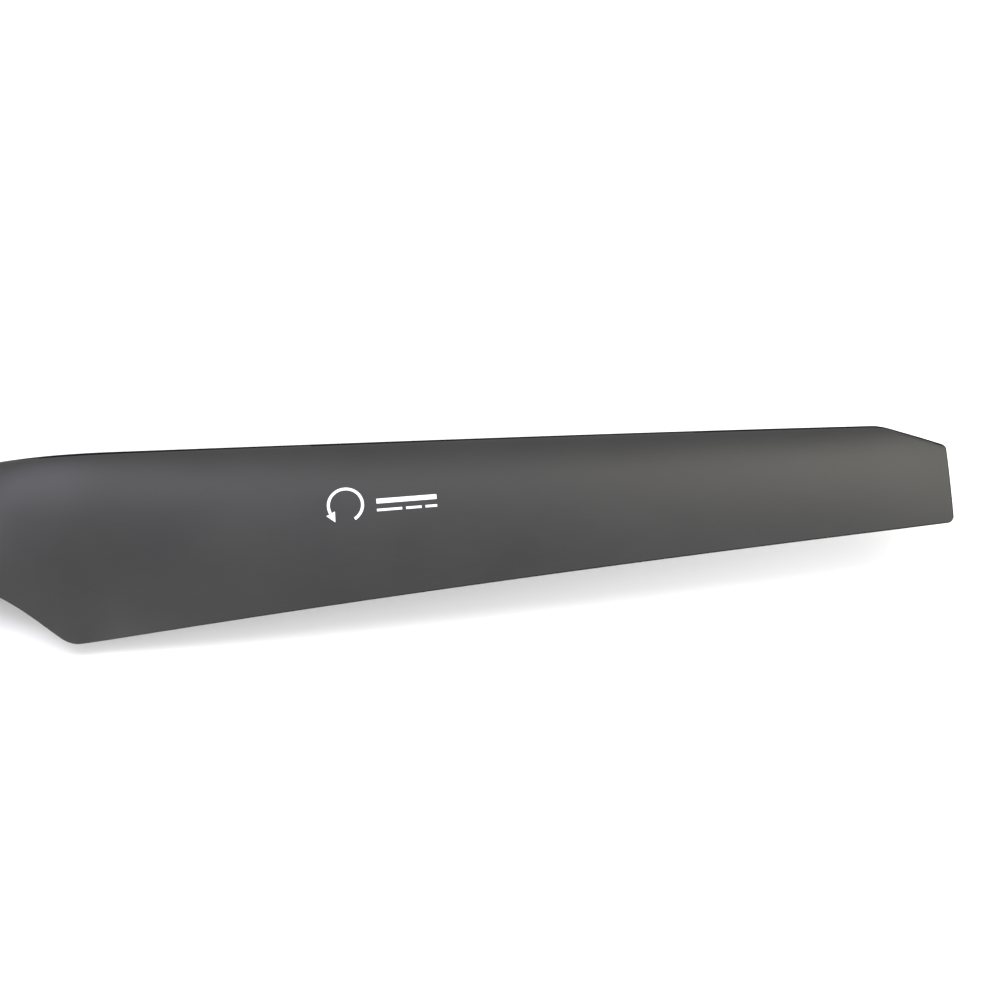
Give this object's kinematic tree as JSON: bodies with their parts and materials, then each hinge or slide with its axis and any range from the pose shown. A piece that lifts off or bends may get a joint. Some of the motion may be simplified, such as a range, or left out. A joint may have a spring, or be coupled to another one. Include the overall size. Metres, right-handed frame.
{
  "type": "folding propeller",
  "caption": "Folding propeller: twisted wide-rooted blades hinged between clamp plates on a round hub, with square-cut tips and a central bore.",
  "frame": {"origin": "centre of the hub's underside, on the thrust axis", "axes": "+Z along the thrust axis, away from the motor; +X along blade a from hub to tip; +Y toward blade a's leading edge"},
  "size_m": [1.1962, 0.1048, 0.0549],
  "materials": {
    "carbon_skin": "satin",
    "root_block": "matte",
    "foam_core": "matte",
    "spar": "satin",
    "bronze_bush": "machined",
    "slip_washer": "smooth",
    "hub_aluminium": "black anodised, satin",
    "bolt_steel": "black oxide",
    "zinc_steel": "zinc plated",
    "white_print": "pad printed",
    "nylon_insert": "smooth"
  },
  "bodies": {
    "hub": {"lower_clamp": "hub_aluminium", "upper_clamp": "hub_aluminium", "locating_dowel_a": "zinc_steel", "locating_dowel_b": "zinc_steel", "pivot_bolt_a": "bolt_steel", "bolt_washer_a": "zinc_steel", "pivot_sleeve_a": "zinc_steel", "nut_washer_a": "zinc_steel", "pivot_nut_a": "zinc_steel", "pivot_bolt_b": "bolt_steel", "bolt_washer_b": "zinc_steel", "pivot_sleeve_b": "zinc_steel", "nut_washer_b": "zinc_steel", "pivot_nut_b": "zinc_steel"},
    "blade_a": {"blade_upper_skin_a": "carbon_skin", "blade_lower_skin_a": "carbon_skin", "root_block_a": "root_block", "blade_spar_a": "spar", "front_core_a": "foam_core", "rear_core_a": "foam_core", "root_bush_a": "bronze_bush", "upper_friction_washer_a": "slip_washer", "lower_friction_washer_a": "slip_washer"},
    "blade_b": {"blade_upper_skin_b": "carbon_skin", "blade_lower_skin_b": "carbon_skin", "root_block_b": "root_block", "blade_spar_b": "spar", "front_core_b": "foam_core", "rear_core_b": "foam_core", "root_bush_b": "bronze_bush", "upper_friction_washer_b": "slip_washer", "lower_friction_washer_b": "slip_washer"}
  },
  "joints": [
    {"name": "fold_a", "type": "hinge", "parent": "hub", "child": "blade_a", "pos_m": [0.04, 0, 0.03], "axis": [0, 0, 1], "range_deg": [-90, 90]},
    {"name": "fold_b", "type": "hinge", "parent": "hub", "child": "blade_b", "pos_m": [-0.04, 0, 0.03], "axis": [0, 0, 1], "range_deg": [-90, 90]}
  ]
}
